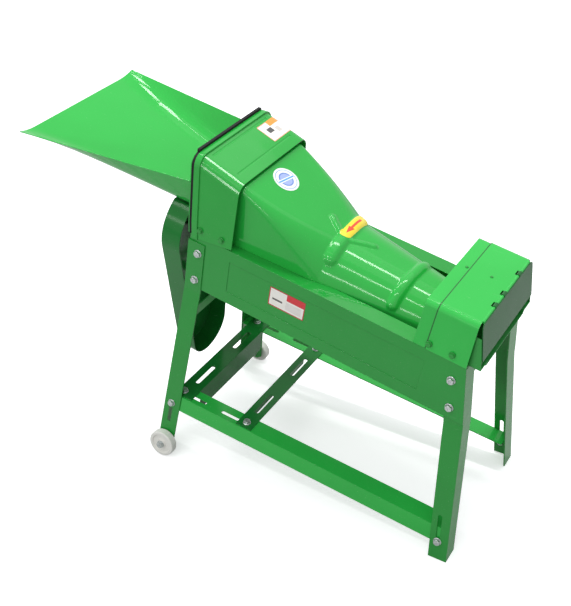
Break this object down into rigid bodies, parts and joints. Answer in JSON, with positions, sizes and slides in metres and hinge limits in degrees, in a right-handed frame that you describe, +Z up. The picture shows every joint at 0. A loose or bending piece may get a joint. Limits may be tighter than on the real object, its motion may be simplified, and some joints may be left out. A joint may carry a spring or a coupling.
{
  "type": "electric corn sheller",
  "caption": "Floor-standing maize sheller: flared feed hopper and hood, tapering shelling cover over a pegged rotor, swinging discharge flap, angle-steel legs with two transport wheels.",
  "frame": {"origin": "on the floor, under the middle of the overall box", "axes": "+X towards the discharge end, +Y to the side the belt guard leans to, +Z up"},
  "size_m": [1.011, 0.4386, 0.7637],
  "materials": {
    "body_enamel": "glossy green enamel on sheet steel",
    "frame_enamel": "glossy green enamel on angle steel",
    "inner_enamel": "green enamel, thinner coat",
    "painted_hardware": "green enamel over fasteners",
    "zinc_hardware": "bright zinc plate",
    "bright_steel": "ground steel",
    "bare_steel": "bare worked steel",
    "cast_pulley": "turned cast iron",
    "white_nylon": "moulded white nylon",
    "black_rubber": "extruded black rubber"
  },
  "bodies": {
    "frame": {"front_side_panel": "body_enamel", "rear_side_panel": "body_enamel", "feed_end_plate": "inner_enamel", "discharge_end_plate": "inner_enamel", "feed_trough": "inner_enamel", "concave_strips": "inner_enamel", "concave_bands": "bare_steel", "concave_rods": "bare_steel", "discharge_chute": "inner_enamel", "front_feed_leg": "frame_enamel", "rear_feed_leg": "frame_enamel", "front_discharge_leg": "frame_enamel", "rear_discharge_leg": "frame_enamel", "front_bottom_rail": "frame_enamel", "rear_bottom_rail": "frame_enamel", "motor_rail_outer": "frame_enamel", "motor_rail_inner": "frame_enamel", "feed_hopper": "body_enamel", "hopper_flange": "body_enamel", "hopper_gasket": "black_rubber", "feed_hood": "body_enamel", "upper_cover": "body_enamel", "tail_cover_inner": "body_enamel", "tail_cover_outer": "body_enamel", "feed_bearing_housing": "inner_enamel", "feed_bearing": "bright_steel", "discharge_bearing_housing": "inner_enamel", "discharge_bearing": "bright_steel", "belt_guard": "body_enamel", "guard_bracket": "inner_enamel", "axle_bolts": "zinc_hardware", "axle_nuts": "zinc_hardware", "leg_bolts": "zinc_hardware", "leg_nuts": "zinc_hardware", "rail_bolts": "zinc_hardware", "rail_nuts": "zinc_hardware", "motor_rail_bolts": "zinc_hardware", "motor_rail_nuts": "zinc_hardware", "hood_bolts": "painted_hardware", "tail_bolts": "painted_hardware", "cover_nuts": "zinc_hardware", "tail_screws": "painted_hardware", "bearing_bolts": "zinc_hardware", "guard_bolts": "zinc_hardware"},
    "rotor": {"rotor_shaft": "bare_steel", "rotor_drum": "bare_steel", "drum_pegs": "bare_steel", "feed_auger": "bare_steel", "throw_paddles": "bare_steel", "rotor_pulley": "cast_pulley", "pulley_key": "bright_steel"},
    "front_wheel": {"front_wheel": "white_nylon"},
    "rear_wheel": {"rear_wheel": "white_nylon"},
    "flap": {"discharge_flap": "body_enamel"}
  },
  "joints": [
    {"name": "rotor_spin", "type": "hinge", "parent": "frame", "child": "rotor", "pos_m": [0.17749, 0, 0.48601], "axis": [0.9816, 0, -0.1908], "continuous": true},
    {"name": "front_wheel_spin", "type": "hinge", "parent": "frame", "child": "front_wheel", "pos_m": [-0.21126, -0.20206, 0.03209], "axis": [0.0237, -0.9923, 0.1218], "continuous": true},
    {"name": "rear_wheel_spin", "type": "hinge", "parent": "frame", "child": "rear_wheel", "pos_m": [-0.21126, 0.20206, 0.03209], "axis": [0.0237, 0.9923, 0.1218], "continuous": true},
    {"name": "flap_swing", "type": "hinge", "parent": "frame", "child": "flap", "pos_m": [0.49531, 0, 0.56451], "axis": [0, -1, 0], "range_deg": [0, 75]}
  ]
}
